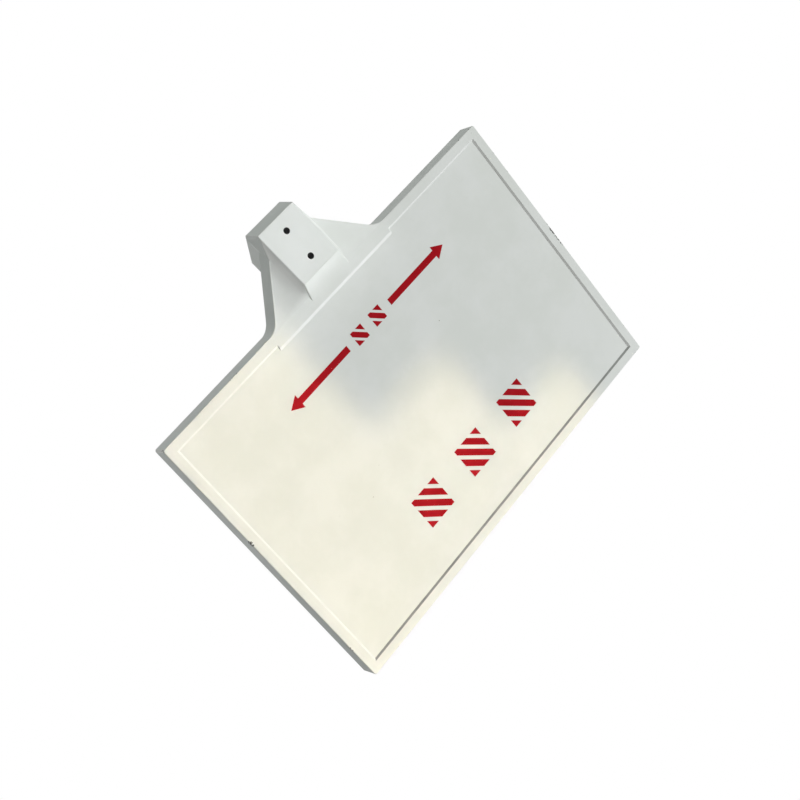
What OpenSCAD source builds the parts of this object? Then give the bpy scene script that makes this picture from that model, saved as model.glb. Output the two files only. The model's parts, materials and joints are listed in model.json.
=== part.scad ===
// Warning marker sign head for a square post, moulded in one piece.
// A shallow tray board with a raised rim stands on a tapered neck, and a
// hollow block on the neck is bolted to the front of the post.
// Frame: X across the board, Y to the back, Z up along the post. The origin
// is midway between the two bolts, on the face that seats against the post.

/* [Board] */
// Width of the board
board_w = 600; // [450:10:750]
// Height of the board along its own face
board_h = 400; // [300:10:500]
// Depth of the board from the rim to the back edge
board_t = 28.5; // [24:0.5:40]
// How far the board leans back from the post, in degrees
board_lean = 10; // [0:1:20]
// Radius of the four corners
corner_r = 3; // [1:0.5:12]
// Thickness of the front skin
skin_t = 4; // [3:0.5:6]
// Thickness of the wall round the edge
skirt_t = 4; // [3:0.5:8]

/* [Rim] */
// Width of the raised rim
rim_w = 12.5; // [8:0.5:30]
// Width of the rim where it crosses the neck
neck_rim_w = 17.5; // [14:0.5:40]
// How far the wider rim runs past the neck on each side
neck_rim_over = 10.5; // [4:0.5:20]
// Depth of the sunken face behind the rim
recess_d = 2; // [1:0.25:4]
// Width of the slope between the rim and the sunken face
step_run = 2.5; // [0.5:0.25:6]
// Width of the softer slope across the neck
neck_step_run = 4; // [0.5:0.25:8]

/* [Ribs] */
// Distance that the rib grid aims for
rib_pitch = 50; // [35:1:80]
// Thickness of a rib
rib_t = 3; // [2:0.5:5]
// How far the ribs stay below the back edge
rib_drop = 4; // [1:0.5:10]

/* [Neck] */
// Width of the neck where it meets the board
neck_w = 196; // [150:1:260]
// Length of the neck's tapered sides
neck_len = 68; // [50:1:85]
// Width of the neck at its narrow end
neck_tip_w = 75; // [72:1:110]
// Depth of the neck
neck_t = 26.5; // [22:0.5:27]
// Radius where the neck's sides run into the board's edge
neck_fillet_r = 30; // [10:1:45]
// Thickness of the neck's side walls
neck_wall = 4; // [3:0.5:6]
// Distance from the board's edge down to the neck's cross rib
neck_rib_drop = 26; // [15:1:36]

/* [Block] */
// How far the block stands in front of the neck
block_proud = 10; // [6:0.5:16]
// Length of the block below the board's edge
block_len = 96.5; // [90:0.5:130]
// Length of the slope at the block's upper end
chamfer_len = 23; // [16:0.5:30]
// How far the slope climbs onto the rim
chamfer_rise = 7.5; // [4:0.5:10]
// How much each end of the slope spreads where it meets the rim
chamfer_flare = 2.5; // [0.5:0.5:5]
// How much each side of the block spreads towards its foot on the neck
root_flare = 7.5; // [3:0.5:10]
// Distance from the board's edge down to where the foot starts to narrow
root_stop = 11; // [6:0.5:14]
// Length over which the foot fades into the block's side below the neck
root_tail = 30; // [12:1:32]
// Thickness of the block's front and end walls
block_wall = 5; // [4:0.5:8]
// How far the end wall drops from its front edge to its back edge
end_drop = 10; // [0:0.5:14]

/* [Post seat] */
// Width of the square post
post_w = 50; // [40:1:60]
// Gap between the post and each cheek
post_gap = 2.5; // [1:0.25:4]
// Thickness of a cheek
cheek_t = 5; // [4:0.5:8]
// Depth of the cheeks behind the seat
cheek_reach = 48; // [30:1:60]
// Height of the slope under each cheek
cheek_ramp = 31; // [15:1:45]
// Length of a cheek's upright back edge
cheek_back = 32; // [15:1:40]
// Depth from the neck's front face to the post seat
seat_depth = 18; // [12:0.5:22]
// Distance from the board's edge down to the top of the post
post_stop = 9; // [7:0.5:14]

/* [Bolts] */
// Distance between the two bolt holes
bolt_pitch = 42; // [30:1:50]
// Diameter of a bolt hole
bolt_hole_d = 8.5; // [7:0.5:13]
// Height of the lower bolt above the block's end
bolt_end_gap = 20; // [16:1:30]
// Outer diameter of a bolt boss
boss_d = 20; // [17:1:26]
// Thickness of the webs between the bosses and the walls
web_t = 4; // [3:0.5:6]

/* [Hidden] */
$fn = 96;
skin_colour = [0.93, 0.94, 0.91];
// Extra length of a cutter past the face that it opens
past = 1;
block_w = post_w + 2*post_gap + 2*cheek_t;
channel_w = block_w - 2*cheek_t;
bolt_mid = block_len - bolt_end_gap - bolt_pitch/2;
// Cells of the rib grid, one more than the ribs that part them
tray_w = board_w - 2*skirt_t;
tray_h = board_h - 2*skirt_t;
columns = round(tray_w/rib_pitch);
rows = round(tray_h/rib_pitch);
cell_w = (tray_w - (columns - 1)*rib_t)/columns;
cell_h = (tray_h - (rows - 1)*rib_t)/rows;
tray_floor = recess_d + skin_t;
// Slope of the neck's sides, half the width lost for each unit of length
neck_slope = (neck_w - neck_tip_w)/2/neck_len;
neck_angle = atan(neck_slope);
// Length along the board's edge that the neck's fillet takes up
fillet_reach = neck_fillet_r*tan((90 - neck_angle)/2);
wide_rim_half = neck_w/2 + neck_rim_over;

// A point given in the board's own depth and height, seen along the post
function on_board(y, z) =
    [y*cos(board_lean) + z*sin(board_lean), z*cos(board_lean) - y*sin(board_lean)];

// Side profile of the block in depth and height, from the slope's top down
// the front, along the end wall and the cheek, and back up inside the board.
cheek_y = seat_depth + cheek_reach;
end_back_z = -block_len - end_drop;
cheek_low_z = end_back_z + cheek_ramp;
chamfer_top = [-block_proud, chamfer_rise - chamfer_len];
block_profile = [
    chamfer_top,
    [-block_proud, -block_len],
    [seat_depth, end_back_z],
    [cheek_y, cheek_low_z],
    [cheek_y, cheek_low_z + cheek_back],
    on_board(board_t, 0),
    on_board(skin_t, chamfer_rise),
    on_board(0, chamfer_rise)
];

// Height of the end wall's outer face at a depth
function end_z(y) = -block_len - end_drop*(y + block_proud)/(seat_depth + block_proud);

// Extrudes an outline drawn in X and Z between two depths
module upright(y0, y1)
    translate([0, y1, 0]) rotate([90, 0, 0]) linear_extrude(y1 - y0) children();

// Extrudes a profile drawn in Y and Z to both sides of the middle
module across(width)
    translate([-width/2, 0, 0]) rotate([90, 0, 90]) linear_extrude(width) children();

module on_both_sides() {
    children();
    mirror([1, 0, 0]) children();
}

module in_board() rotate([-board_lean, 0, 0]) children();

// Fills the hollow corner between two straight edges with a true arc. The
// edges leave the corner at angles a and b, and the patch starts inside it.
module corner_fillet(corner, a, b, r) {
    turn = (b - a)/2;
    run = r/tan(turn);
    outward = [cos(a + turn), sin(a + turn)];
    centre = corner + r/sin(turn)*outward;
    difference() {
        polygon([
            corner - past*outward, corner + run*[cos(a), sin(a)],
            centre, corner + run*[cos(b), sin(b)]]);
        translate(centre) circle(r);
    }
}

module rounded_rectangle(w, h, r) {
    translate([-w/2, r]) square([w, h - 2*r]);
    translate([-w/2 + r, 0]) square([w - 2*r, h]);
    for (x = [-w/2 + r, w/2 - r], z = [r, h - r])
        translate([x, z]) circle(r);
}

// Sunken face of the board, a shallow pan with four sloping sides
module sunken_face() {
    slope = step_run/recess_d;
    mouth = rim_w - past*slope;
    floor_edge = rim_w + step_run;
    soft_slope = neck_step_run/recess_d;
    difference() {
        intersection() {
            across(board_w) polygon([
                [-past, mouth], [recess_d, floor_edge],
                [recess_d, board_h - floor_edge], [-past, board_h - mouth]]);
            linear_extrude(board_h) polygon([
                [-board_w/2 + mouth, -past], [-board_w/2 + floor_edge, recess_d],
                [board_w/2 - floor_edge, recess_d], [board_w/2 - mouth, -past]]);
        }
        across(2*wide_rim_half) polygon([
            [-2*past, 0], [-2*past, neck_rim_w - 2*past*soft_slope],
            [2*recess_d, neck_rim_w + 2*neck_step_run], [2*recess_d, 0]]);
    }
}

module board_body() {
    difference() {
        upright(0, board_t) rounded_rectangle(board_w, board_h, corner_r);
        sunken_face();
    }
}

// Hollow back of the board, one cutter for each cell between the ribs
module board_cells() {
    upright(board_t - rib_drop, board_t + past)
        translate([-tray_w/2, skirt_t]) square([tray_w, tray_h]);
    for (i = [0:columns - 1], j = [0:rows - 1])
        translate([-tray_w/2 + i*(cell_w + rib_t), tray_floor, skirt_t + j*(cell_h + rib_t)])
            cube([cell_w, board_t - tray_floor, cell_h]);
}

// Outline of the neck in the board's plane, with its edges run into the
// board by arcs. It ends inside the block, and a strip of it lies inside the
// board's wall.
module neck_outline() {
    top_half = neck_w/2 + fillet_reach;
    tip_half = block_w/2 - past;
    tip_z = -(neck_w/2 - tip_half)/neck_slope;
    polygon([[-neck_w/2, 0], [neck_w/2, 0], [tip_half, tip_z], [-tip_half, tip_z]]);
    translate([-top_half, 0]) square([2*top_half, past]);
    on_both_sides() corner_fillet([neck_w/2, 0], -90 - neck_angle, 0, neck_fillet_r);
}

// Upright slab between two depths that ends at the height of the crease
module neck_slab(y0, y1)
    across(2*neck_w) polygon([[y0, 0], [y0, -2*block_len], [y1, -2*block_len], [y1, 0]]);

// Hollow back of one side of the neck, parted by a cross rib. It starts
// inside the block, which closes it on that side.
module neck_cell() {
    inner = block_w/2 - past;
    outer_top = neck_w/2 - neck_wall/cos(neck_angle);
    tip_z = -(outer_top - inner)/neck_slope;
    difference() {
        intersection() {
            in_board() upright(-board_t, 2*board_t)
                polygon([[inner, past], [outer_top, past], [outer_top, 0], [inner, tip_z]]);
            neck_slab(skin_t, neck_t + past);
        }
        translate([inner - past, skin_t - past, -neck_rib_drop - rib_t])
            cube([outer_top, neck_t - rib_drop - skin_t + past, rib_t]);
    }
}

// Space beyond the plane through three points, on its normal's side
module beyond(a, b, c) {
    n = cross(b - a, c - a);
    translate(a) rotate([0, -atan2(n[2], norm([n[0], n[1]])), atan2(n[1], n[0])])
        translate([0, -block_len, -block_len]) cube(2*block_len);
}

// Spread foot of the block. Each side slants from the block's front edge to
// the neck's front face, narrows towards the slope at its upper end, and
// fades into the block's side below the neck.
module root_pad() {
    foot = block_w/2 + root_flare;
    foot_low = -(neck_w/2 - foot)/neck_slope + past;
    difference() {
        intersection() {
            across(2*foot) polygon(block_profile);
            translate([0, 0, -2*block_len]) linear_extrude(3*block_len) polygon([
                [-block_w/2, -block_proud], [block_w/2, -block_proud], [foot, 0],
                [block_w/2 - past, neck_t], [past - block_w/2, neck_t], [-foot, 0]]);
            in_board() upright(-board_t, 2*board_t) polygon([
                [-foot, foot_low], [-block_w/2, foot_low - root_tail],
                [block_w/2, foot_low - root_tail], [foot, foot_low],
                [foot, 2*chamfer_rise], [-foot, 2*chamfer_rise]]);
        }
        on_both_sides() beyond(
            [block_w/2, chamfer_top[0], chamfer_top[1]],
            [foot, 0, -root_stop],
            concat(block_w/2 + chamfer_flare, on_board(0, chamfer_rise)));
    }
}

// Neck with side walls that run straight back from the board's plane
module neck_body()
    difference() {
        union() {
            intersection() {
                in_board() upright(-board_t, 2*board_t) neck_outline();
                neck_slab(0, neck_t);
            }
            root_pad();
        }
        on_both_sides() neck_cell();
    }

module bolt_places()
    for (drop = [bolt_mid - bolt_pitch/2, bolt_mid + bolt_pitch/2])
        translate([0, 0, -drop]) children();

module rod_back(d, y0, y1)
    translate([0, y1, 0]) rotate([90, 0, 0]) cylinder(d = d, h = y1 - y0);

// Hollow of the block in front of the post seat, with its bosses and webs
// left standing
module block_hollow() {
    front = -block_proud + block_wall;
    difference() {
        across(channel_w) polygon([
            [front, chamfer_top[1] - block_wall],
            [front, end_z(front) + block_wall],
            [seat_depth + past, end_z(seat_depth + past) + block_wall],
            [seat_depth + past, -post_stop],
            [skin_t + block_wall, -post_stop]]);
        bolt_places() {
            rod_back(boss_d, front - past, seat_depth);
            translate([-channel_w/2, front - past, -web_t/2])
                cube([channel_w, seat_depth - front + past, web_t]);
        }
        translate([-web_t/2, front - past, -block_len - end_drop])
            cube([web_t, seat_depth - front + past, block_len + end_drop]);
    }
}

// Space of the post between the cheeks, open below and behind
module post_channel()
    translate([-channel_w/2, seat_depth, end_back_z - past])
        cube([channel_w, cheek_reach + past, -end_back_z - post_stop + past]);

module sign_body() {
    color(skin_colour)
    translate([0, -seat_depth, bolt_mid])
    difference() {
        union() {
            in_board() board_body();
            neck_body();
            across(block_w) polygon(block_profile);
        }
        in_board() board_cells();
        block_hollow();
        post_channel();
        bolt_places() rod_back(bolt_hole_d, -block_proud - past, seat_depth + past);
    }
}

sign_body();
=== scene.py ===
"""Looks of a moulded marker board: its finish, printed marks, light and camera."""
import json
import logging
import math
from collections.abc import Callable, Iterator
from contextlib import contextmanager
from dataclasses import dataclass, field
from enum import IntEnum

import bpy
from mathutils import Matrix, Vector
from mathutils.bvhtree import BVHTree

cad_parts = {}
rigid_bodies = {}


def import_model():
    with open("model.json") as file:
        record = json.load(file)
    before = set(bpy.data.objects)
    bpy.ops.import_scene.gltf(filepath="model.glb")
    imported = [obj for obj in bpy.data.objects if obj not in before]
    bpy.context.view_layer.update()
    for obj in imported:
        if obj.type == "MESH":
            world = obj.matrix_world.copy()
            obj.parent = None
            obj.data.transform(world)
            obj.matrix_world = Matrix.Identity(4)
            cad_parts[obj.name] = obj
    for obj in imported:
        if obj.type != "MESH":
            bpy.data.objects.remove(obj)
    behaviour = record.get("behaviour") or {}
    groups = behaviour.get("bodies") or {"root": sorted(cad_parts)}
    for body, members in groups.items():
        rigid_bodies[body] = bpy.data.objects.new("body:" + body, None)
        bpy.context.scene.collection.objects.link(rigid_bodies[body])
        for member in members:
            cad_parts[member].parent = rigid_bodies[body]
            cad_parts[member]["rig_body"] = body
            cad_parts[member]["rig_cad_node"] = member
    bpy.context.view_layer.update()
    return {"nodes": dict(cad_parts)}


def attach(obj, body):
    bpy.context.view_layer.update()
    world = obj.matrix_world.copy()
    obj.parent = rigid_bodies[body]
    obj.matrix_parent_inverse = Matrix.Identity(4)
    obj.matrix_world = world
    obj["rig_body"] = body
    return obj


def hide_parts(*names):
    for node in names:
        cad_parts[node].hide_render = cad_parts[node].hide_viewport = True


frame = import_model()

LOG = logging.getLogger("marker_board")
Colour = tuple[float, float, float]
Point = tuple[float, float, float]
Span = tuple[float, float]
Socket = bpy.types.NodeSocket
WHITE: Colour = (1.0, 1.0, 1.0)


# Modelling aids


def select_none() -> None:
    """Deselects every object, so that the next operator acts on its own piece only."""
    bpy.ops.object.select_all(action="DESELECT")


def take(piece: bpy.types.Object) -> None:
    """Makes a piece the only selected object and the active one.

    Args:
        piece: The object that the next operators act on.
    """
    select_none()
    piece.select_set(True)
    bpy.context.view_layer.objects.active = piece


@contextmanager
def editing(piece: bpy.types.Object, part: str = "FACE") -> Iterator[None]:
    """Holds a piece in edit mode, with nothing selected at the start.

    Args:
        piece: The object to edit.
        part: What is selected, VERT, EDGE or FACE.

    Yields:
        Nothing, while the piece is in edit mode.
    """
    take(piece)
    bpy.ops.object.mode_set(mode="EDIT")
    bpy.ops.mesh.select_mode(type=part)
    bpy.ops.mesh.select_all(action="DESELECT")
    yield
    bpy.ops.object.mode_set(mode="OBJECT")


def pick_faces(piece: bpy.types.Object, wanted: Callable[[bpy.types.MeshPolygon], bool]) -> None:
    """Selects the faces of a piece in edit mode that pass a test.

    Args:
        piece: The object in edit mode.
        wanted: Says whether a face is selected.
    """
    bpy.ops.object.mode_set(mode="OBJECT")
    for face in piece.data.polygons:
        face.select = wanted(face)
    bpy.ops.object.mode_set(mode="EDIT")


def pick_edges(piece: bpy.types.Object, wanted: Callable[[Vector, Vector], bool]) -> None:
    """Selects the edges of a piece in edit mode whose two ends pass a test.

    Args:
        piece: The object in edit mode.
        wanted: Says whether an edge is selected, from the places of its ends.
    """
    bpy.ops.object.mode_set(mode="OBJECT")
    points = piece.data.vertices
    for part in (*points, *piece.data.polygons):
        part.select = False
    for edge in piece.data.edges:
        edge.select = wanted(points[edge.vertices[0]].co, points[edge.vertices[1]].co)
    bpy.ops.object.mode_set(mode="EDIT")


def settle(piece: bpy.types.Object) -> None:
    """Moves a piece's place into its mesh, so that its object sits at the origin."""
    take(piece)
    bpy.ops.object.transform_apply(location=True, rotation=True, scale=True)


def finish_modifier(piece: bpy.types.Object, kind: str, **settings: object) -> None:
    """Adds one modifier to a piece and applies it.

    Args:
        piece: The object to change.
        kind: Blender's name of the modifier type.
        **settings: Values of the modifier's own settings.
    """
    take(piece)
    modifier = piece.modifiers.new(kind.lower(), kind)
    for name, value in settings.items():
        setattr(modifier, name, value)
    bpy.ops.object.modifier_apply(modifier=modifier.name)


def turned_to(across: Vector, up: Vector, out: Vector) -> Matrix:
    """Makes a turn whose X, Y and Z axes point along three directions."""
    return Matrix((across, up, out)).transposed().to_4x4()


# Where things lie


@dataclass(frozen=True)
class BoardPlace:
    """Where the leaning board stands in the part's frame, in metres and radians."""

    lean: float = math.radians(10)
    crease_y: float = -0.018
    crease_z: float = 0.0555

    @property
    def crease(self) -> Vector:
        """Middle of the line where the rim's front meets the neck."""
        return Vector((0, self.crease_y, self.crease_z))

    @property
    def out(self) -> Vector:
        """Direction in which the printed face looks."""
        return Vector((0, -math.cos(self.lean), math.sin(self.lean)))

    def depth_of(self, point: Vector) -> float:
        """Measures how far a point lies behind the rim's front."""
        return (self.crease - point).dot(self.out)

    def plane(self, depth: float) -> Matrix:
        """Works out the frame of a plane on the board's front.

        Args:
            depth: How far the plane lies behind the rim.

        Returns:
            A matrix with X across the board, Y up its face and Z out of it.
        """
        up = Vector((0, math.sin(self.lean), math.cos(self.lean)))
        turn = turned_to(Vector((1, 0, 0)), up, self.out)
        return Matrix.Translation(self.crease - depth * self.out) @ turn


BOARD = BoardPlace()


# Shader nodes


class MixSocket(IntEnum):
    """Places of the Mix node's colour sockets, whose names it uses more than once."""

    SHARE = 0
    FIRST = 6
    SECOND = 7
    RESULT = 2


class NodeSheet:
    """Adds nodes to one shader tree and joins them."""

    spacing = 180

    def __init__(self, tree: bpy.types.NodeTree) -> None:
        """Takes the tree that the nodes go into."""
        self.tree = tree

    def add(self, kind: str, values: dict[str, object] | None = None,
            **settings: object) -> bpy.types.Node:
        """Adds one node.

        Args:
            kind: Blender's name of the node type.
            values: Plain values of its inputs, or sockets to join to them, by name.
            **settings: Values of the node's own settings.

        Returns:
            The new node.
        """
        node = self.tree.nodes.new(kind)
        node.location = (self.spacing * len(self.tree.nodes), 0)
        for name, value in settings.items():
            setattr(node, name, value)
        for name, value in (values or {}).items():
            self.feed(node.inputs[name], value)
        return node

    def feed(self, socket: Socket, value: object) -> None:
        """Joins a socket to an input, or sets its plain value.

        Args:
            socket: The input.
            value: A socket, or a number, colour or vector.
        """
        if isinstance(value, Socket):
            self.tree.links.new(value, socket)
        elif isinstance(value, tuple) and len(value) == 3 and socket.type == "RGBA":
            socket.default_value = (*value, 1.0)
        else:
            socket.default_value = value

    def feed_in_order(self, node: bpy.types.Node, *values: object) -> bpy.types.Node:
        """Feeds a node's inputs from the first one on.

        Args:
            node: The node.
            *values: Sockets or plain values, one for each input.

        Returns:
            The same node.
        """
        for socket, value in zip(node.inputs, values):
            self.feed(socket, value)
        return node

    def calculate(self, kind: str, first: object, second: object, clamp: bool = False) -> Socket:
        """Adds a Math node.

        Args:
            kind: Its operation.
            first: First number or socket.
            second: Second number or socket.
            clamp: Whether the result stays between 0 and 1.

        Returns:
            The result's socket.
        """
        node = self.add("ShaderNodeMath", operation=kind, use_clamp=clamp)
        return self.feed_in_order(node, first, second).outputs[0]

    def vector(self, kind: str, *parts: object) -> bpy.types.Node:
        """Adds a Vector Math node of one operation, with its inputs fed in order."""
        return self.feed_in_order(self.add("ShaderNodeVectorMath", operation=kind), *parts)

    def blend(self, share: object, first: object, second: object) -> Socket:
        """Mixes two colours.

        Args:
            share: How much of the second colour shows, 0 to 1.
            first: First colour or socket.
            second: Second colour or socket.

        Returns:
            The mixed colour's socket.
        """
        node = self.add("ShaderNodeMix", data_type="RGBA")
        self.feed(node.inputs[MixSocket.SHARE], share)
        self.feed(node.inputs[MixSocket.FIRST], first)
        self.feed(node.inputs[MixSocket.SECOND], second)
        return node.outputs[MixSocket.RESULT]

    def blend_shaders(self, share: object, first: bpy.types.Node,
                      second: bpy.types.Node) -> Socket:
        """Mixes two shaders.

        Args:
            share: How much of the second shader shows, 0 to 1.
            first: Node of the first shader.
            second: Node of the second shader.

        Returns:
            The mixed shader's socket.
        """
        node = self.add("ShaderNodeMixShader")
        return self.feed_in_order(node, share, first.outputs[0], second.outputs[0]).outputs[0]

    def spread(self, value: object, span: Span, result: Span = (0.0, 1.0)) -> Socket:
        """Maps a span of numbers smoothly to another one.

        Args:
            value: The number's socket.
            span: Where the span starts and ends.
            result: What its start and its end become.

        Returns:
            The mapped number's socket.
        """
        node = self.add("ShaderNodeMapRange", interpolation_type="SMOOTHSTEP")
        return self.feed_in_order(node, value, *span, *result).outputs[0]

    def noise(self, place: object, scale: object, detail: float = 2.0,
              rough: float = 0.5) -> Socket:
        """Adds a noise texture and returns its value's socket."""
        values = {"Vector": place, "Scale": scale, "Detail": detail, "Roughness": rough}
        return self.add("ShaderNodeTexNoise", values).outputs["Fac"]

    def use(self, group: bpy.types.NodeTree, values: dict[str, object]) -> Socket:
        """Places a shared group with its own values and returns its output's socket."""
        return self.add("ShaderNodeGroup", values, node_tree=group).outputs[0]


VECTOR, NUMBER, COLOUR = "NodeSocketVector", "NodeSocketFloat", "NodeSocketColor"


class EffectGroup(NodeSheet):
    """A shader node group that is being built, with named inputs and one output."""

    def __init__(self, name: str, takes: dict[str, str], gives: tuple[str, str]) -> None:
        """Starts the group.

        Args:
            name: The group's name.
            takes: Socket type of each input, by name.
            gives: Name and socket type of the output.
        """
        super().__init__(bpy.data.node_groups.new(name, "ShaderNodeTree"))
        for label, kind in takes.items():
            self.tree.interface.new_socket(name=label, in_out="INPUT", socket_type=kind)
        self.tree.interface.new_socket(name=gives[0], in_out="OUTPUT", socket_type=gives[1])
        self.given = self.add("NodeGroupInput").outputs
        self.result = self.add("NodeGroupOutput").inputs[0]

    def give(self, value: Socket) -> bpy.types.NodeTree:
        """Joins a socket to the group's output and returns the finished group."""
        self.feed(self.result, value)
        return self.tree


@dataclass
class SurfaceEffects:
    """The shader effects that several finishes share, each built once as a group."""

    mottle_span: Span = (0.36, 0.66)
    speck_fringe_scale: float = 900.0
    speck_fringe: float = 0.0016
    speck_patch_scale: float = 9.0
    smear_turn: Point = (0.3, 0.6, 0.9)
    smear_stretch: Point = (1.0, 2.6, 0.7)
    smear_gain: float = 4.0
    chip_scale: float = 480.0
    chip_span: Span = (0.36, 0.60)
    chip_reach: Span = (0.0, 1.2)

    def __post_init__(self) -> None:
        """Builds the groups."""
        self.relief = self._relief()
        self.mottle = self._mottle()
        self.specks = self._specks()
        self.smears = self._smears()
        self.chip = self._chip()

    def _relief(self) -> bpy.types.NodeTree:
        """Builds fine orange peel on a slow waviness, as a height in metres.

        Returns:
            The finished group.
        """
        takes = {"Place": VECTOR, "Peel Scale": NUMBER, "Peel Height": NUMBER,
                 "Wave Scale": NUMBER, "Wave Height": NUMBER}
        group = EffectGroup("surface_relief", takes, ("Height", NUMBER))
        given = group.given
        peel = group.noise(given["Place"], given["Peel Scale"], detail=3.0, rough=0.6)
        wave = group.noise(given["Place"], given["Wave Scale"], detail=1.0, rough=0.4)
        fine = group.calculate("MULTIPLY", peel, given["Peel Height"])
        slow = group.calculate("MULTIPLY", wave, given["Wave Height"])
        return group.give(group.calculate("ADD", fine, slow))

    def _mottle(self) -> bpy.types.NodeTree:
        """Builds a slow change between two close colours.

        Returns:
            The finished group.
        """
        takes = {"Place": VECTOR, "Colour": COLOUR, "Other Colour": COLOUR, "Scale": NUMBER}
        group = EffectGroup("soft_mottle", takes, ("Colour", COLOUR))
        given = group.given
        broad = group.noise(given["Place"], given["Scale"], detail=4.0, rough=0.62)
        share = group.spread(broad, self.mottle_span)
        return group.give(group.blend(share, given["Colour"], given["Other Colour"]))

    def _specks(self) -> bpy.types.NodeTree:
        """Builds a mask of scattered specks that gather in patches of a slow noise.

        Returns:
            The finished group.
        """
        takes = {"Place": VECTOR, "Scale": NUMBER, "Size": NUMBER, "Patches": NUMBER}
        group = EffectGroup("scattered_specks", takes, ("Mask", NUMBER))
        given = group.given
        fringe = group.add("ShaderNodeTexNoise", {
            "Vector": given["Place"], "Scale": self.speck_fringe_scale, "Detail": 2.0})
        shifted = group.vector(
            "MULTIPLY_ADD", fringe.outputs["Color"], (self.speck_fringe,) * 3, given["Place"])
        cells = group.add("ShaderNodeTexVoronoi", {
            "Vector": shifted.outputs[0], "Scale": given["Scale"]})
        grain = group.add("ShaderNodeTexWhiteNoise", {"Vector": cells.outputs["Position"]})
        reach = group.calculate("MULTIPLY", grain.outputs["Value"], given["Size"])
        dot = group.calculate("LESS_THAN", cells.outputs["Distance"], reach)
        patch = group.noise(given["Place"], self.speck_patch_scale)
        near = group.calculate("GREATER_THAN", patch, given["Patches"])
        return group.give(group.calculate("MULTIPLY", dot, near))

    def _smears(self) -> bpy.types.NodeTree:
        """Builds a wiped, stretched haze as a number round 0, for a change of roughness.

        Returns:
            The finished group.
        """
        takes = {"Place": VECTOR, "Scale": NUMBER, "Amount": NUMBER}
        group = EffectGroup("wiped_smears", takes, ("Change", NUMBER))
        given = group.given
        wiped = group.add("ShaderNodeMapping", {
            "Vector": given["Place"], "Rotation": self.smear_turn, "Scale": self.smear_stretch})
        haze = group.noise(wiped.outputs[0], given["Scale"], detail=5.0, rough=0.65)
        centred = group.calculate("SUBTRACT", haze, 0.5)
        gain = group.calculate("MULTIPLY", given["Amount"], self.smear_gain)
        return group.give(group.calculate("MULTIPLY", centred, gain))

    def _chip(self) -> bpy.types.NodeTree:
        """Builds a mask of a ragged worn place round one point.

        Returns:
            The finished group.
        """
        takes = {"Place": VECTOR, "Middle": VECTOR, "Reach": VECTOR}
        group = EffectGroup("ragged_chip", takes, ("Mask", NUMBER))
        given = group.given
        away = group.vector("SUBTRACT", given["Place"], given["Middle"]).outputs[0]
        share = group.vector("DIVIDE", away, given["Reach"]).outputs[0]
        far = group.vector("LENGTH", share).outputs["Value"]
        fringe = group.noise(given["Place"], self.chip_scale)
        edge = group.spread(fringe, self.chip_span, self.chip_reach)
        return group.give(group.calculate("LESS_THAN", far, edge))


# Finishes


@dataclass(frozen=True)
class Chip:
    """A dark worn place on an edge, in metres: its middle and its half sizes."""

    place: Point
    reach: Point


EDGE_CHIPS = (
    Chip(place=(-0.300, 0.0150, 0.2430), reach=(0.0024, 0.0050, 0.0240)),
    Chip(place=(0.300, 0.0094, 0.2110), reach=(0.0022, 0.0060, 0.0050)),
    Chip(place=(0.300, -0.0165, 0.0535), reach=(0.0022, 0.0060, 0.0036)),
)


@dataclass(frozen=True)
class Finish:
    """What every finish has in common: a Principled surface with relief.

    Heights are in metres, and a scale counts features in a metre.
    """

    name: str
    colour: Colour
    other_colour: Colour
    mottle_scale: float
    roughness: float
    haze: float
    peel_scale: float
    peel_height: float
    wave_scale: float
    wave_height: float
    haze_scale: float = 14.0
    sheen_level: float = 0.5
    speck_colour: Colour = (0.10, 0.09, 0.07)
    speck_scale: float = 120.0
    speck_size: float = 0.0
    speck_patches: float = 0.6
    chips: tuple[Chip, ...] = ()
    chip_colour: Colour = (0.085, 0.08, 0.07)

    def material(self, effects: SurfaceEffects) -> bpy.types.Material:
        """Builds the material.

        Args:
            effects: The shared node groups.

        Returns:
            The new material.
        """
        skin = bpy.data.materials.new(self.name)
        skin.use_nodes = True
        sheet = NodeSheet(skin.node_tree)
        shader = skin.node_tree.nodes["Principled BSDF"]
        place = sheet.add("ShaderNodeTexCoord").outputs["Object"]
        sheet.feed(shader.inputs["Base Color"], self.tone(sheet, effects, place))
        smear = sheet.use(effects.smears, {
            "Place": place, "Scale": self.haze_scale, "Amount": self.haze})
        rough = sheet.calculate("ADD", smear, self.roughness, clamp=True)
        sheet.feed(shader.inputs["Roughness"], rough)
        relief = sheet.use(effects.relief, {
            "Place": place, "Peel Scale": self.peel_scale, "Peel Height": self.peel_height,
            "Wave Scale": self.wave_scale, "Wave Height": self.wave_height})
        bump = sheet.add("ShaderNodeBump", {"Height": relief, "Strength": 1.0, "Distance": 1.0})
        sheet.feed(shader.inputs["Normal"], bump.outputs["Normal"])
        sheet.feed(shader.inputs["Specular IOR Level"], self.sheen_level)
        return skin

    def tone(self, sheet: NodeSheet, effects: SurfaceEffects, place: Socket) -> Socket:
        """Builds the base colour with its mottle, specks and chips.

        Args:
            sheet: The material's node sheet.
            effects: The shared node groups.
            place: Socket of the object coordinates.

        Returns:
            The colour's socket.
        """
        colour = sheet.use(effects.mottle, {
            "Place": place, "Colour": self.colour, "Other Colour": self.other_colour,
            "Scale": self.mottle_scale})
        if self.speck_size:
            specks = sheet.use(effects.specks, {
                "Place": place, "Scale": self.speck_scale, "Size": self.speck_size,
                "Patches": self.speck_patches})
            colour = sheet.blend(specks, colour, self.speck_colour)
        for chip in self.chips:
            worn = sheet.use(effects.chip, {
                "Place": place, "Middle": chip.place, "Reach": chip.reach})
            colour = sheet.blend(worn, colour, self.chip_colour)
        return colour


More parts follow.
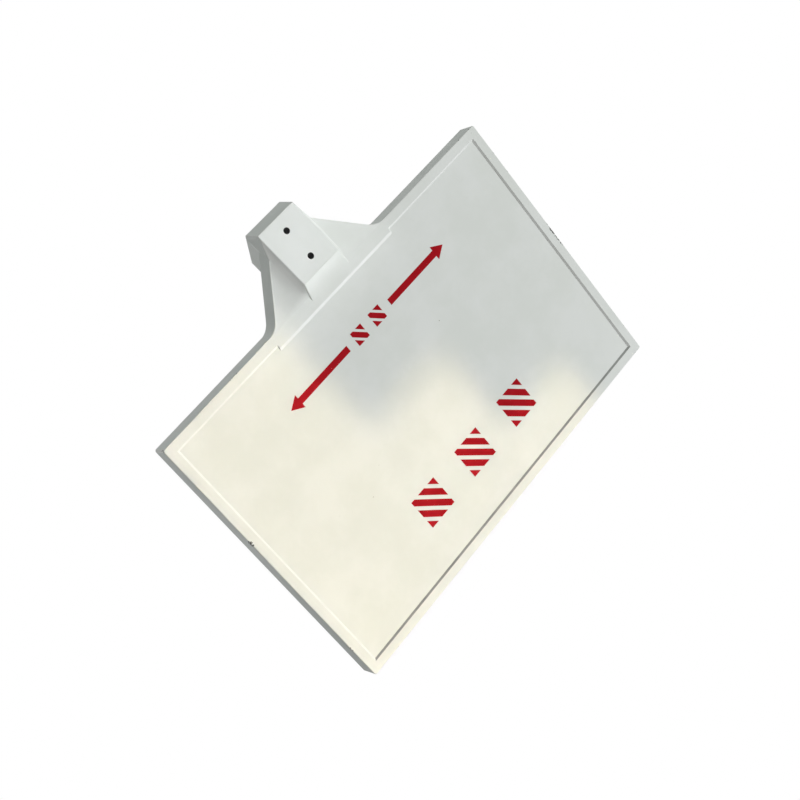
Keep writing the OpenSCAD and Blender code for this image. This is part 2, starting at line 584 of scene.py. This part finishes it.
GLOSSY_SKIN = Finish(
    name="glossy_skin", colour=(0.80, 0.815, 0.775), other_colour=(0.845, 0.855, 0.825),
    mottle_scale=11.0, roughness=0.21, haze=0.03, sheen_level=0.42,
    peel_scale=900.0, peel_height=0.0000035, wave_scale=11.0, wave_height=0.00016,
    speck_colour=(0.34, 0.32, 0.27), speck_scale=85.0, speck_size=0.06, chips=EDGE_CHIPS)
WORN_EDGE = Finish(
    name="worn_edge", colour=(0.77, 0.785, 0.74), other_colour=(0.83, 0.84, 0.805),
    mottle_scale=30.0, roughness=0.36, haze=0.08, sheen_level=0.42,
    peel_scale=700.0, peel_height=0.00001, wave_scale=30.0, wave_height=0.00005,
    speck_colour=(0.13, 0.125, 0.11), speck_scale=210.0, speck_size=0.42, chips=EDGE_CHIPS)
# Partly painted shade: the side walls' colour is darker and cooler than the face's, standing in
# for the shade on them; their rougher, less glossy finish is the moulding's own.
MATT_SIDE_PAINTED_SHADE = Finish(
    name="matt_side_painted_shade", colour=(0.745, 0.785, 0.75), other_colour=(0.79, 0.825, 0.79),
    mottle_scale=16.0, roughness=0.52, haze=0.06, sheen_level=0.22,
    peel_scale=520.0, peel_height=0.00002, wave_scale=30.0, wave_height=0.0001,
    speck_colour=(0.34, 0.32, 0.27), speck_scale=110.0, speck_size=0.08, speck_patches=0.58,
    chips=EDGE_CHIPS)
ROUGH_BACK = Finish(
    name="rough_back", colour=(0.68, 0.69, 0.64), other_colour=(0.76, 0.765, 0.72),
    mottle_scale=24.0, roughness=0.58, haze=0.10,
    peel_scale=420.0, peel_height=0.00006, wave_scale=40.0, wave_height=0.00025,
    speck_colour=(0.42, 0.40, 0.33), speck_scale=130.0, speck_size=0.16, speck_patches=0.46)
# Painted shade: the bolt holes' walls are near black, standing in for the shade inside the
# holes.
BORE_PAINTED_SHADE = Finish(
    name="bore_painted_shade", colour=(0.012, 0.011, 0.010), other_colour=(0.03, 0.028, 0.025),
    mottle_scale=200.0, roughness=0.8, haze=0.05,
    peel_scale=1500.0, peel_height=0.00005, wave_scale=90.0, wave_height=0.0001)
# Painted shade: a darker colour on the step's slope that looks down, standing in for the shade
# there.
STEP_PAINTED_SHADE = Finish(
    name="step_painted_shade", colour=(0.37, 0.38, 0.36), other_colour=(0.44, 0.45, 0.43),
    mottle_scale=30.0, roughness=0.50, haze=0.06, sheen_level=0.22,
    peel_scale=520.0, peel_height=0.00002, wave_scale=30.0, wave_height=0.0001)
# Painted highlight: a lighter base colour on the step's slopes that don't look down or to +X,
# standing in for the light they catch.
STEP_PAINTED_HIGHLIGHT = Finish(
    name="step_painted_highlight", colour=(0.90, 0.905, 0.88), other_colour=(0.93, 0.935, 0.91),
    mottle_scale=30.0, roughness=0.22, haze=0.03, sheen_level=1.0,
    peel_scale=900.0, peel_height=0.0000035, wave_scale=11.0, wave_height=0.00005)
RED_INK = Finish(
    name="red_ink", colour=(0.40, 0.006, 0.012), other_colour=(0.45, 0.009, 0.016),
    mottle_scale=40.0, roughness=0.50, haze=0.04, sheen_level=0.04,
    peel_scale=1500.0, peel_height=0.000006, wave_scale=12.0, wave_height=0.0001,
    speck_colour=(0.62, 0.40, 0.38), speck_scale=420.0, speck_size=0.14)


class SkinSlot(IntEnum):
    """Material slots of the moulding, in their order."""

    FACE = 0
    EDGE = 1
    BACK = 2
    BORE = 3
    SIDE = 4
    # The step's slope that looks down, with painted shade.
    GRIME = 5
    # The step's other slopes, with a painted highlight.
    CREST = 6


SKINS = {
    SkinSlot.FACE: GLOSSY_SKIN,
    SkinSlot.EDGE: WORN_EDGE,
    SkinSlot.BACK: ROUGH_BACK,
    SkinSlot.BORE: BORE_PAINTED_SHADE,
    SkinSlot.SIDE: MATT_SIDE_PAINTED_SHADE,
    SkinSlot.GRIME: STEP_PAINTED_SHADE,
    SkinSlot.CREST: STEP_PAINTED_HIGHLIGHT,
}


# The object


@dataclass(frozen=True)
class Limits:
    """Bounds of a face's normal, as cosines, that tell the moulding's surfaces apart.

    A face whose share in the front's direction is below `side` is a side, and one whose
    share lies within `slope` can be the step's slope. A face doesn't look back if its
    normal.y is below `front`, and can be a bolt hole's wall if it is within `wall` of 0.
    A slope whose normal.z lies below the fifth bound gets painted shade, and else a painted
    highlight if its normal.x is below `bright`.
    """

    side: float = 0.5
    front: float = 0.5
    wall: float = 0.5
    slope: Span = (0.7, 0.95)
    # Slopes whose normal.z is below this get painted shade.
    painted_shade_below: float = -0.3
    # Other slopes whose normal.x is below this get a painted highlight.
    bright: float = 0.3


@dataclass
class Moulding:
    """The one-piece moulding: the solid with softened edges and its finishes."""

    node: str = "sign_body"
    slot: str = "moulding"
    front_radius: float = 0.0008
    back_radius: float = 0.0005
    edge_steps: int = 2
    sharp_from: float = math.radians(21)
    normal_weight: int = 60
    weld: float = 0.00001
    flat_within: float = math.radians(0.4)
    bolt_heights: tuple[float, float] = (-0.021, 0.021)
    bore_radius: float = 0.00425
    seat_y: float = 0.0
    probe: float = 0.0006
    step_depth: float = 0.002
    step_share: Span = (0.1, 0.9)
    step_radius: float = 0.00015
    limits: Limits = Limits()

    def build(self, effects: SurfaceEffects) -> bpy.types.Object:
        """Copies the solid, softens its edges and dresses it.

        Args:
            effects: The shared node groups.

        Returns:
            The finished piece.
        """
        take(frame["nodes"][self.node])
        bpy.ops.object.duplicate()
        piece = bpy.context.view_layer.objects.active
        piece.name = "moulded_board"
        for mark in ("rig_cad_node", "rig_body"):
            del piece[mark]
        bpy.ops.object.parent_clear(type="CLEAR_KEEP_TRANSFORM")
        piece.data.materials.clear()
        for slot in SkinSlot:
            piece.data.materials.append(SKINS[slot].material(effects))
        with editing(piece):
            bpy.ops.mesh.select_all(action="SELECT")
            bpy.ops.mesh.remove_doubles(threshold=self.weld)
            bpy.ops.mesh.dissolve_limited(angle_limit=self.flat_within)
        self.share_out(piece)
        self.weigh_edges(piece)
        finish_modifier(
            piece, "BEVEL", width=self.front_radius, segments=self.edge_steps,
            limit_method="WEIGHT", use_clamp_overlap=False, loop_slide=False,
            miter_outer="MITER_SHARP", miter_inner="MITER_SHARP", harden_normals=False)
        self.mark_edges(piece)
        take(piece)
        bpy.ops.object.shade_smooth_by_angle(angle=self.sharp_from)
        finish_modifier(piece, "WEIGHTED_NORMAL", keep_sharp=True, weight=self.normal_weight)
        return piece

    def share_out(self, piece: bpy.types.Object) -> None:
        """Gives each face its finish by where it lies.

        Args:
            piece: The welded copy of the solid.
        """
        mesh = piece.data
        points = [point.co for point in mesh.vertices]
        tree = BVHTree.FromPolygons(points, [tuple(face.vertices) for face in mesh.polygons])
        forward = BOARD.out
        mesh.calc_loop_triangles()
        for face in mesh.polygons:
            face.material_index = SkinSlot.BACK
        for part in mesh.loop_triangles:
            middle = sum((points[corner] for corner in part.vertices), Vector()) / 3
            start = middle + self.probe * part.normal
            seen = tree.ray_cast(start, forward)[0] is None
            fronted = part.normal.y < self.limits.front
            outer = fronted and tree.ray_cast(start, part.normal)[0] is None
            if seen or outer:
                # Faces turned away from the front take the side finish, whose darker colour is
                # painted shade.
                turned = part.normal.dot(forward) < self.limits.side
                skin = SkinSlot.SIDE if turned else SkinSlot.FACE
                mesh.polygons[part.polygon_index].material_index = skin
        for face in mesh.polygons:
            if self.in_bore(face):
                face.material_index = SkinSlot.BORE
            elif self.on_step(face):
                self.dress_slope(face)

    def in_bore(self, face: bpy.types.MeshPolygon) -> bool:
        """Says whether a face is the wall of a bolt hole.

        Args:
            face: A face of the moulding.

        Returns:
            Whether it lies in one of the two holes.
        """
        if face.center.y >= self.seat_y or abs(face.normal.y) >= self.limits.wall:
            return False
        return any(math.hypot(face.center.x, face.center.z - height) < self.bore_radius
                   for height in self.bolt_heights)

    def on_step(self, face: bpy.types.MeshPolygon) -> bool:
        """Says whether a face is part of the slope round the sunken face.

        Args:
            face: A face of the moulding.

        Returns:
            Whether its depth and its direction are those of the slope.
        """
        least, most = self.step_share
        flattest, steepest = self.limits.slope
        return (least < BOARD.depth_of(face.center) / self.step_depth < most
                and flattest < face.normal.dot(BOARD.out) < steepest)

    def dress_slope(self, face: bpy.types.MeshPolygon) -> None:
        """Gives a slope painted shade if it looks down, and else a painted highlight unless it
        looks to +X.

        Args:
            face: A face of the slope round the sunken face.
        """
        # Painted shade on the slope that looks down, painted highlight on the others except
        # those facing +X.
        if face.normal.z < self.limits.painted_shade_below:
            face.material_index = SkinSlot.GRIME
        elif face.normal.x < self.limits.bright:
            face.material_index = SkinSlot.CREST

    def weigh_edges(self, piece: bpy.types.Object) -> None:
        """Weighs each edge for its rounding: full outside, small behind, none in a corner.

        Args:
            piece: The welded copy with its finishes shared out.
        """
        mesh = piece.data
        sides: dict[tuple[int, ...], list[tuple[bpy.types.MeshPolygon, Vector]]] = {}
        for face in mesh.polygons:
            ring = list(face.vertices)
            for first, second in zip(ring, ring[1:] + ring[:1]):
                way = mesh.vertices[second].co - mesh.vertices[first].co
                inward = face.normal.cross(way).normalized()
                sides.setdefault(tuple(sorted((first, second))), []).append((face, inward))
        weights = mesh.attributes.new("bevel_weight_edge", "FLOAT", "EDGE")
        for edge in mesh.edges:
            pair = sides.get(tuple(sorted(edge.vertices)), [])
            weights.data[edge.index].value = self.edge_weight(pair) if len(pair) == 2 else 0.0

    def edge_weight(self, pair: list[tuple[bpy.types.MeshPolygon, Vector]]) -> float:
        """Works out how far an edge is rounded.

        Args:
            pair: The edge's two faces, each with its direction away from the edge.

        Returns:
            A share of the full radius.
        """
        (one, _), (other, into_other) = pair
        skins = (one.material_index, other.material_index)
        if one.normal.angle(other.normal) < self.sharp_from or SkinSlot.BORE in skins:
            return 0.0
        if self.on_step(one) or self.on_step(other):
            return self.step_radius / self.front_radius
        if into_other.dot(one.normal) > 0:
            return 0.0
        if SkinSlot.BACK in skins:
            return self.back_radius / self.front_radius
        return 1.0

    def mark_edges(self, piece: bpy.types.Object) -> None:
        """Gives the narrow softened edges of the skin the worn finish.

        Args:
            piece: The bevelled copy.
        """
        points = piece.data.vertices
        for face in piece.data.polygons:
            if face.material_index not in (SkinSlot.FACE, SkinSlot.SIDE):
                continue
            sides = [(points[a].co - points[b].co).length for a, b in face.edge_keys]
            narrow = min(sides) < self.front_radius
            if narrow and face.area < max(sides) * self.front_radius:
                face.material_index = SkinSlot.EDGE


def flat_rectangle(name: str, centre: Vector, width: float, height: float) -> bpy.types.Object:
    """Adds a flat rectangle that faces up.

    Args:
        name: The new object's name.
        centre: Where its middle is.
        width: Its size along X.
        height: Its size along Y.

    Returns:
        The rectangle, with its place and size in its mesh.
    """
    select_none()
    bpy.ops.mesh.primitive_plane_add(size=1.0, location=centre)
    piece = bpy.context.object
    piece.name = name
    piece.scale = (width, height, 1)
    settle(piece)
    return piece


@dataclass
class ArrowMark:
    """A printed arrow that lies along the board, in metres on the sunken face."""

    name: str
    base: float
    neck: float
    tip: float
    middle: float
    shaft_width: float = 0.0090
    head_width: float = 0.0205
    shoulder: float = 0.0002
    near: float = 0.0001

    def build(self) -> bpy.types.Object:
        """Models the arrow flat, from a shaft whose end grows into the head.

        Returns:
            The flat arrow, in the plane's own frame.
        """
        centre = Vector(((self.base + self.neck) / 2, self.middle, 0))
        piece = flat_rectangle(self.name, centre, abs(self.neck - self.base), self.shaft_width)
        shoulder = math.copysign(self.shoulder, self.tip - self.base)
        with editing(piece, "EDGE"):
            pick_edges(piece, lambda a, b: max(
                abs(a.x - self.neck), abs(b.x - self.neck)) < self.near)
            self.extrude(shoulder)
            bpy.ops.transform.resize(
                value=(1, self.head_width / self.shaft_width, 1),
                center_override=(self.neck, self.middle, 0))
            self.extrude(self.tip - self.neck - shoulder)
            bpy.ops.mesh.merge(type="CENTER")
        return piece

    @staticmethod
    def extrude(length: float) -> None:
        """Extrudes what is selected along X."""
        bpy.ops.mesh.extrude_region_move(TRANSFORM_OT_translate={"value": (length, 0, 0)})


@dataclass
class HatchedPatch:
    """A printed square of slanting bars, in metres on the sunken face."""

    name: str
    centre_x: float
    centre_y: float
    side: float
    bars: int
    gap: float

    def build(self) -> bpy.types.Object:
        """Models the square flat, cuts it along slanting lines and clears the gaps.

        Returns:
            The flat patch, in the plane's own frame.
        """
        centre = Vector((self.centre_x, self.centre_y, 0))
        piece = flat_rectangle(self.name, centre, self.side, self.side)
        slant = Vector((1, 1, 0)).normalized()
        gaps = self.gap_middles()
        with editing(piece, "FACE"):
            for middle in gaps:
                for edge in (middle - self.gap / 2, middle + self.gap / 2):
                    bpy.ops.mesh.select_all(action="SELECT")
                    bpy.ops.mesh.bisect(plane_co=centre + edge * slant, plane_no=slant)
            pick_faces(piece, lambda face: any(
                abs((face.center - centre).dot(slant) - middle) < self.gap / 2
                for middle in gaps))
            bpy.ops.mesh.delete(type="FACE")
        return piece

    def gap_middles(self) -> list[float]:
        """Works out where the gaps lie along the square's diagonal.

        Returns:
            Their middles, measured from the square's centre.
        """
        diagonal = self.side * math.sqrt(2)
        pitch = (diagonal + self.gap) / self.bars
        return [-diagonal / 2 + (number + 1) * pitch - self.gap / 2
                for number in range(self.bars - 1)]


@dataclass
class PrintedMarks:
    """The red print on the sunken face: two arrows and plain hatched patches."""

    depth: float = 0.002
    sunk: float = 0.00005
    proud: float = 0.00015
    slot: str = "moulding"
    arrows: tuple[ArrowMark, ...] = (
        ArrowMark("arrow_left", base=-0.0443, neck=-0.1380, tip=-0.1554, middle=0.0812),
        ArrowMark("arrow_right", base=0.0394, neck=0.1328, tip=0.1501, middle=0.0826),
    )
    patches: tuple[HatchedPatch, ...] = (
        HatchedPatch("patch_small_left", -0.0196, 0.0812, side=0.020, bars=3, gap=0.0034),
        HatchedPatch("patch_small_right", 0.0156, 0.0815, side=0.020, bars=3, gap=0.0034),
        HatchedPatch("patch_large_left", -0.0942, 0.3082, side=0.046, bars=5, gap=0.0052),
        HatchedPatch("patch_large_middle", -0.0018, 0.3082, side=0.046, bars=5, gap=0.0052),
        HatchedPatch("patch_large_right", 0.0893, 0.3082, side=0.046, bars=5, gap=0.0052),
    )

    def build(self, effects: SurfaceEffects) -> list[bpy.types.Object]:
        """Models every mark and lays it on the board.

        Args:
            effects: The shared node groups.

        Returns:
            The finished marks.
        """
        ink = RED_INK.material(effects)
        place = BOARD.plane(self.depth) @ Matrix.Translation((0, 0, -self.sunk))
        done = []
        for mark in (*self.arrows, *self.patches):
            piece = mark.build()
            finish_modifier(piece, "SOLIDIFY", thickness=self.sunk + self.proud, offset=1.0)
            with editing(piece, "FACE"):
                bpy.ops.mesh.select_all(action="SELECT")
                bpy.ops.mesh.normals_make_consistent(inside=False)
            piece.matrix_world = place
            settle(piece)
            piece.data.materials.append(ink)
            done.append(piece)
        return done


# Stage, light, camera


def shown_rays(sheet: NodeSheet) -> Socket:
    """Marks the rays that see the white background: straight, mirrored and through glass.

    Args:
        sheet: The sheet of the floor's or the world's shader.

    Returns:
        A socket that is 1 for such rays and 0 for those that light the board.
    """
    rays = sheet.add("ShaderNodeLightPath").outputs
    mirrored = sheet.calculate("MAXIMUM", rays["Is Camera Ray"], rays["Is Glossy Ray"])
    return sheet.calculate("MAXIMUM", mirrored, rays["Is Transmission Ray"])


@dataclass
class PaleFloor:
    """A round pale floor under the board, out of the photograph's view."""

    height: float = -1.0
    radius: float = 2.6
    sides: int = 96
    colour: Colour = (0.60, 0.60, 0.59)
    glow: float = 0.6

    def build(self) -> bpy.types.Object:
        """Adds the floor and its material.

        Returns:
            The floor's object.
        """
        select_none()
        bpy.ops.mesh.primitive_circle_add(
            vertices=self.sides, radius=self.radius, fill_type="NGON",
            location=(0, 0, self.height))
        floor = bpy.context.object
        floor.name = "pale_floor"
        settle(floor)
        paint = bpy.data.materials.new("pale_floor")
        paint.use_nodes = True
        paint.node_tree.nodes.clear()
        sheet = NodeSheet(paint.node_tree)
        plain = sheet.add("ShaderNodeBsdfDiffuse", {"Color": self.colour})
        bright = sheet.add("ShaderNodeEmission", {"Color": WHITE, "Strength": 1.0})
        seen = sheet.calculate("MULTIPLY", shown_rays(sheet), self.glow)
        both = sheet.blend_shaders(seen, plain, bright)
        sheet.add("ShaderNodeOutputMaterial", {"Surface": both})
        floor.data.materials.append(paint)
        return floor


@dataclass
class SoftWorld:
    """Even daylight, white where it is seen and dimmer where it lights."""

    light: float = 0.23

    def build(self) -> None:
        """Makes the world's shader."""
        world = bpy.data.worlds.new("soft_daylight")
        bpy.context.scene.world = world
        world.use_nodes = True
        world.node_tree.nodes.clear()
        sheet = NodeSheet(world.node_tree)
        dim = sheet.add("ShaderNodeBackground", {"Color": WHITE, "Strength": self.light})
        white = sheet.add("ShaderNodeBackground", {"Color": WHITE, "Strength": 1.0})
        both = sheet.blend_shaders(shown_rays(sheet), dim, white)
        sheet.add("ShaderNodeOutputWorld", {"Surface": both})


@dataclass
class LightCard:
    """A flat studio light that faces a point, in metres and degrees.

    A narrow spread makes it a beam that lights a patch of its own shape. A card that
    isn't mirrored gives light, but no bright image of itself on a glossy face.
    """

    name: str
    place: Point
    aim: Point
    width: float
    height: float
    radiance: float
    colour: Colour = WHITE
    up: Point = (0.0, 0.0, 1.0)
    spread: float = 180.0
    mirrored: bool = True

    def build(self) -> bpy.types.Object:
        """Adds the light, with its width across and its height along its up direction.

        Returns:
            The light's object.
        """
        select_none()
        bpy.ops.object.light_add(type="AREA", location=self.place)
        card = bpy.context.object
        card.name = self.name
        back = (Vector(self.place) - Vector(self.aim)).normalized()
        across = Vector(self.up).cross(back).normalized()
        turn = turned_to(across, back.cross(across), back)
        card.matrix_world = Matrix.Translation(self.place) @ turn
        card.data.shape = "RECTANGLE"
        card.data.size, card.data.size_y = self.width, self.height
        card.data.energy = self.radiance * math.pi * self.width * self.height
        card.data.color = self.colour
        card.data.spread = math.radians(self.spread)
        card.visible_glossy = self.mirrored
        return card


@dataclass
class GlowBeam(LightCard):
    """A narrow warm beam that lights one part of the board's lower half."""

    radiance: float = 0.42
    colour: Colour = (1.0, 0.83, 0.54)
    up: Point = (0.0, 0.6898, 0.7240)
    spread: float = 3.2


@dataclass
class PhotoCamera:
    """The camera, at the photograph's viewing angle."""

    place: Point = (0.6692, -1.5911, -0.1015)
    right: Point = (-0.6155, -0.3870, 0.6865)
    up: Point = (-0.6999, -0.1319, -0.7019)
    lens: float = 62.34
    sensor: float = 36.0
    shown: Span = (0.05, 50.0)

    def build(self) -> bpy.types.Object:
        """Adds the camera and makes it the scene's own.

        Returns:
            The camera's object.
        """
        select_none()
        bpy.ops.object.camera_add(location=self.place)
        camera = bpy.context.object
        camera.name = "photo_camera"
        right, up = Vector(self.right).normalized(), Vector(self.up).normalized()
        back = right.cross(up).normalized()
        turn = turned_to(right, back.cross(right), back)
        camera.matrix_world = Matrix.Translation(self.place) @ turn
        camera.data.lens = self.lens
        camera.data.sensor_width = self.sensor
        camera.data.clip_start, camera.data.clip_end = self.shown
        bpy.context.scene.camera = camera
        return camera


@dataclass
class Studio:
    """Everything round the board that isn't part of it."""

    floor: PaleFloor = field(default_factory=PaleFloor)
    world: SoftWorld = field(default_factory=SoftWorld)
    camera: PhotoCamera = field(default_factory=PhotoCamera)
    lights: tuple[LightCard, ...] = (
        LightCard("key_card", (-9.048, -5.192, 5.92), (0.0, -0.02, -0.02), 1.58, 1.58,
                  radiance=92.0, colour=(0.95, 1.0, 1.0), mirrored=False),
        LightCard("sky_card", (-1.72, -2.20, 3.39), (0.0, 0.0, 0.0), 1.32, 1.32,
                  radiance=3.6, colour=(0.95, 0.98, 1.0)),
        LightCard("front_card", (-2.05, -5.30, 0.49), (0.0, 0.0, 0.15), 2.2, 2.2,
                  radiance=3.0, colour=(0.96, 1.0, 1.0)),
        LightCard("low_card", (0.55, -1.0, -0.55), (0.0, 0.0, 0.15), 0.5, 0.5, radiance=0.3),
        LightCard("back_card", (0.0, 2.4, 0.30), (0.0, 0.0, 0.15), 1.2, 1.2, radiance=4.0),
        GlowBeam("glow_neck", (-0.1446, -1.2073, 1.1298), (-0.0445, -0.4869, 0.4434),
                 0.239, 0.146, radiance=0.13, colour=(0.97, 1.0, 1.0)),
        GlowBeam("glow_left", (0.0831, -1.0587, 1.3189), (0.1832, -0.3384, 0.6326),
                 0.298, 0.491),
        GlowBeam("glow_middle", (-0.1347, -0.9739, 1.3762), (-0.0346, -0.2536, 0.6898),
                 0.139, 0.291),
        GlowBeam("glow_right", (-0.2658, -0.9242, 1.4093), (-0.1658, -0.2038, 0.7229),
                 0.124, 0.175),
    )

    def build(self) -> None:
        """Sets the stage, the light and the camera."""
        self.floor.build()
        self.world.build()
        for light in self.lights:
            light.build()
        self.camera.build()
        bpy.context.scene.view_settings.view_transform = "Standard"


# The whole scene


def main() -> None:
    """Builds the board, its print and its stage, and reports each piece."""
    logging.basicConfig(level=logging.INFO, format="%(name)s: %(message)s")
    Studio().build()
    effects = SurfaceEffects()
    moulding = Moulding()
    board = moulding.build(effects)
    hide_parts(moulding.node)
    marks = PrintedMarks()
    printed = [(mark, marks.slot) for mark in marks.build(effects)]
    for piece, slot in [(board, moulding.slot), *printed]:
        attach(piece, "root")
        LOG.info("%s: %d faces", piece.name, len(piece.data.polygons))


if __name__ == "__main__":
    main()
